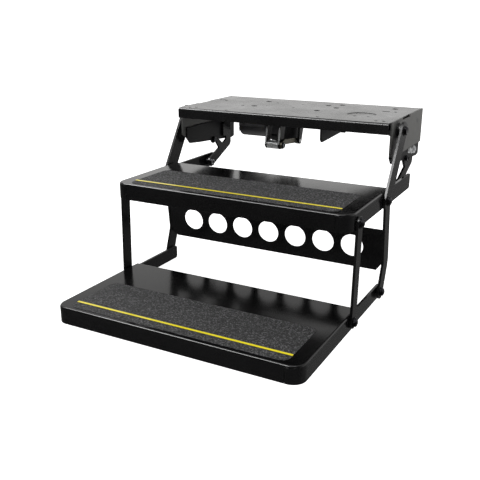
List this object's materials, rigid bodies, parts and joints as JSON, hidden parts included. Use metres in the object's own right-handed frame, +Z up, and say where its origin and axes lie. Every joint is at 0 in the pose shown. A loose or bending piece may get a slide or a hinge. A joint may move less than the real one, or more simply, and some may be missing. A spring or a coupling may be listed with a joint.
{
  "type": "folding entry step",
  "caption": "Electric double entry step: two level treads on flat-bar linkages that fold together under a bolted mounting frame, driven by a gearmotor and crank.",
  "frame": {"origin": "centre of the mounting frame's flat top face, which bolts up against the vehicle", "axes": "+X to the right seen from outside the vehicle, +Y towards the vehicle (rear), +Z up"},
  "size_m": [0.637, 0.82, 0.426],
  "materials": {
    "powder_coat": "gloss black powder coat",
    "frame_coat": "satin black powder coat",
    "grip": "coarse mineral grit on adhesive film",
    "reflector": "yellow reflective tape",
    "zinc": "bright zinc plate",
    "black_zinc": "black zinc",
    "bushing": "black moulded bearing plastic",
    "casting": "black painted die casting",
    "motor_steel": "plated deep-drawn steel",
    "gear_steel": "machined steel, greased",
    "copper": "enamelled copper and lamination stack",
    "ferrite": "sintered ferrite",
    "lid": "gloss black stamped steel",
    "moulding": "black moulded plastic"
  },
  "bodies": {
    "frame": {"bracket_studs_and_nuts": "zinc", "frame_side_plate_left": "frame_coat", "frame_side_plate_right": "frame_coat", "frame_top_plate": "frame_coat", "gearbox_bolts": "zinc", "gearbox_housing": "casting", "gearbox_lid": "lid", "harness_clip": "black_zinc", "motor_can": "motor_steel", "motor_magnets": "ferrite", "pivot_bracket_left": "frame_coat", "pivot_bracket_right": "frame_coat", "power_inlet": "moulding", "rear_gusset_left": "frame_coat", "rear_gusset_right": "frame_coat", "rear_link_pins": "black_zinc", "stop_bolts": "black_zinc", "torsion_tube_bushings": "bushing", "tube_hanger_bracket": "frame_coat"},
    "swing_arms": {"swing_arm_left": "powder_coat", "swing_arm_right": "powder_coat", "torsion_tube": "frame_coat", "torsion_tube_bolts": "black_zinc", "kick_plate": "powder_coat", "drive_lever": "black_zinc", "lever_pin": "zinc", "lever_sleeve": "zinc"},
    "upper_tread": {"upper_tread_pan": "powder_coat", "upper_tread_rail_left": "powder_coat", "upper_tread_rail_right": "powder_coat", "upper_tread_arm_left": "powder_coat", "upper_tread_arm_right": "powder_coat", "upper_grip_mat": "grip", "upper_reflective_strip": "reflector", "upper_stiffener_channel": "powder_coat", "upper_pivot_studs": "black_zinc", "rear_link_studs": "black_zinc"},
    "lower_tread": {"lower_tread_pan": "powder_coat", "lower_tread_rail_left": "powder_coat", "lower_tread_rail_right": "powder_coat", "lower_tread_arm_left": "powder_coat", "lower_tread_arm_right": "powder_coat", "lower_grip_mat": "grip", "lower_reflective_strip": "reflector", "lower_stiffener_channel": "powder_coat", "lower_pivot_studs": "black_zinc"},
    "front_link_left": {"front_link_left": "powder_coat"},
    "front_link_right": {"front_link_right": "powder_coat"},
    "rear_link_left": {"rear_link_left": "powder_coat"},
    "rear_link_right": {"rear_link_right": "powder_coat"},
    "crank": {"crank_arm": "frame_coat", "crank_pin": "zinc", "crank_shaft": "gear_steel", "output_gear": "gear_steel"},
    "drive_link": {"drive_link": "black_zinc"},
    "motor_rotor": {"motor_shaft": "gear_steel", "motor_armature": "copper", "drive_pinion": "gear_steel"}
  },
  "joints": [
    {"name": "fold", "type": "hinge", "parent": "frame", "child": "swing_arms", "pos_m": [0, -0.074, -0.025], "axis": [1, 0, 0], "range_deg": [0, 77]},
    {"name": "upper_tread_pivot", "type": "hinge", "parent": "swing_arms", "child": "upper_tread", "pos_m": [0, -0.173, -0.177], "axis": [1, 0, 0], "range_deg": [-77, 0]},
    {"name": "lower_tread_pivot", "type": "hinge", "parent": "swing_arms", "child": "lower_tread", "pos_m": [0, -0.18, -0.405], "axis": [1, 0, 0], "range_deg": [-77, 0]},
    {"name": "front_link_left_pivot", "type": "hinge", "parent": "upper_tread", "child": "front_link_left", "pos_m": [0, -0.371, -0.177], "axis": [1, 0, 0], "range_deg": [0, 77]},
    {"name": "front_link_right_pivot", "type": "hinge", "parent": "upper_tread", "child": "front_link_right", "pos_m": [0, -0.371, -0.177], "axis": [1, 0, 0], "range_deg": [0, 77]},
    {"name": "rear_link_left_pivot", "type": "hinge", "parent": "frame", "child": "rear_link_left", "pos_m": [0, 0.109, -0.025], "axis": [1, 0, 0], "range_deg": [0, 77]},
    {"name": "rear_link_right_pivot", "type": "hinge", "parent": "frame", "child": "rear_link_right", "pos_m": [0, 0.109, -0.025], "axis": [1, 0, 0], "range_deg": [0, 77]},
    {"name": "crank_turn", "type": "hinge", "parent": "frame", "child": "crank", "pos_m": [0, 0.024, -0.028], "axis": [1, 0, 0], "range_deg": [0, 77]},
    {"name": "drive_link_pivot", "type": "hinge", "parent": "crank", "child": "drive_link", "pos_m": [0, 0.01, -0.0896], "axis": [1, 0, 0], "range_deg": [-77, 0]},
    {"name": "rotor_turn", "type": "hinge", "parent": "frame", "child": "motor_rotor", "pos_m": [0, 0.028, -0.0547], "axis": [1, 0, 0], "range_deg": [-154, 0]}
  ],
  "couplings": [
    {"joint": "upper_tread_pivot", "follows": "fold", "ratio": -1},
    {"joint": "lower_tread_pivot", "follows": "fold", "ratio": -1},
    {"joint": "front_link_left_pivot", "follows": "fold", "ratio": 1},
    {"joint": "front_link_right_pivot", "follows": "fold", "ratio": 1},
    {"joint": "rear_link_left_pivot", "follows": "fold", "ratio": 1},
    {"joint": "rear_link_right_pivot", "follows": "fold", "ratio": 1},
    {"joint": "crank_turn", "follows": "fold", "ratio": 1},
    {"joint": "drive_link_pivot", "follows": "fold", "ratio": -1},
    {"joint": "rotor_turn", "follows": "fold", "ratio": -2}
  ]
}
